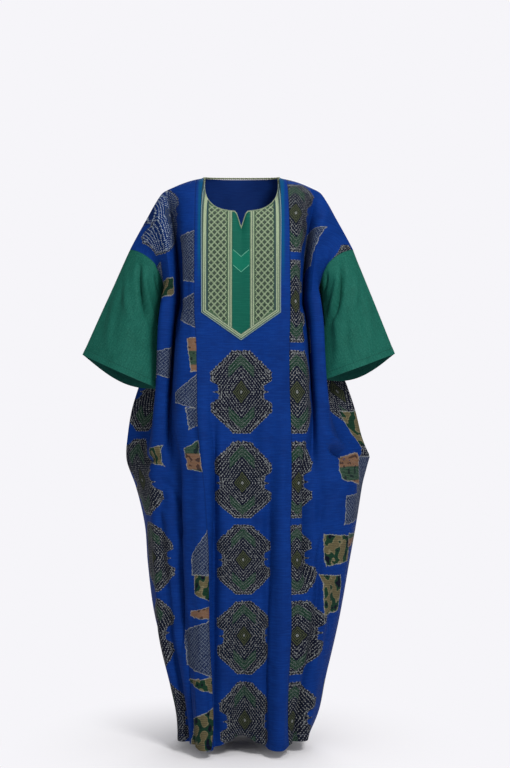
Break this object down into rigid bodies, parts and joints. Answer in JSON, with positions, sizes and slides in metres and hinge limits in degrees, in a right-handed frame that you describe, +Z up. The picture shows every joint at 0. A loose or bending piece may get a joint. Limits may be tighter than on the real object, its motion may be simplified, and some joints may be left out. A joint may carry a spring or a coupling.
{
  "type": "grand boubou robe",
  "caption": "Wide ankle-length worn robe of blue printed cloth with flared green elbow sleeves and a long pointed embroidered neck placket.",
  "frame": {"origin": "between the two neck points of the shoulders, on the line where the wearer's shoulders carry the robe", "axes": "+Z up; the front of the robe faces -Y; the wearer's left side is at +X"},
  "size_m": [0.8117, 0.3109, 1.4585],
  "materials": {
    "printed_cloth": "royal blue slub cotton printed with medallions",
    "green_cloth": "plain deep green slub cotton",
    "placket_cloth": "green cotton under corded lattice embroidery",
    "braid": "sage and gold twisted cord and braid"
  },
  "bodies": {
    "root": {"front_centre": "printed_cloth", "front_side_right": "printed_cloth", "front_side_left": "printed_cloth", "back": "printed_cloth", "sleeve_right": "green_cloth", "sleeve_left": "green_cloth", "placket": "placket_cloth", "braid_outer": "braid", "braid_inner_right": "braid", "braid_inner_left": "braid", "neck_edging": "braid"}
  },
  "joints": []
}
